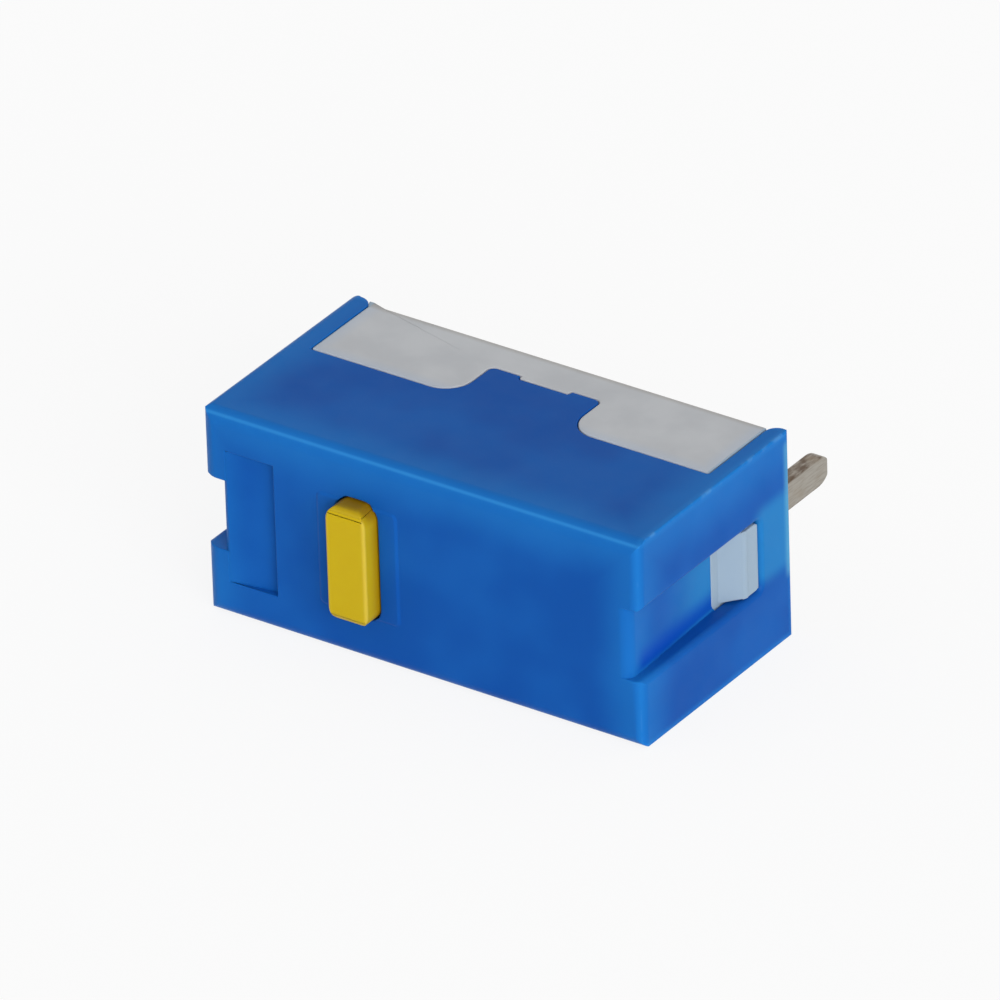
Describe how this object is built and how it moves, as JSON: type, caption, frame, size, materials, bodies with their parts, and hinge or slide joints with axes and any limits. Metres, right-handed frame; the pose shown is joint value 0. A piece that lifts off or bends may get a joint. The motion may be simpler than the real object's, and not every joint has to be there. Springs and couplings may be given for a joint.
{
  "type": "waterproof push button switch",
  "caption": "Sealed subminiature snap-action switch: translucent blue clip-on cover, milky base, oblong yellow plunger and in-line pins for a circuit board.",
  "frame": {"origin": "under the middle of the bounding box, on the plane that the switch lies on", "axes": "+X along the case, from the normally closed pin to the common pin; -Y out of the front face, the way the plunger stands out; +Y the way the pins point; +Z from the side it lies on to the other side"},
  "size_m": [0.0128, 0.0102, 0.0057],
  "materials": {
    "cover_plastic": "translucent blue moulded plastic, satin",
    "base_plastic": "milky white moulded plastic, satin",
    "plunger_plastic": "opaque yellow moulded plastic, satin",
    "silicone": "soft grey silicone",
    "tinned_strip": "tin-plated brass strip, sheared edges",
    "spring_strip": "bright copper alloy spring strip",
    "contact_silver": "silver alloy"
  },
  "bodies": {
    "case": {"cover": "cover_plastic", "base": "base_plastic", "plunger_seal": "silicone", "base_gasket": "silicone", "com_terminal": "tinned_strip", "no_terminal": "tinned_strip", "nc_terminal": "tinned_strip", "no_contact": "contact_silver", "nc_contact": "contact_silver"},
    "plunger": {"plunger": "plunger_plastic"},
    "contact_arm": {"contact_spring": "spring_strip", "moving_contact": "contact_silver"}
  },
  "joints": [
    {"name": "plunger_press", "type": "slide", "parent": "case", "child": "plunger", "axis": [0, 1, 0], "range_m": [0, 0.00045], "stiffness_N_per_m": 900, "springref_m": -0.0003, "deforming": ["plunger_seal"]},
    {"name": "contact_swing", "type": "hinge", "parent": "case", "child": "contact_arm", "pos_m": [0.00499, -0.00288, 0.00285], "axis": [0, 0, -1], "range_deg": [0, 3.82]}
  ],
  "couplings": [
    {"joint": "contact_swing", "follows": "plunger_press", "rad_per_m": 148.04}
  ]
}
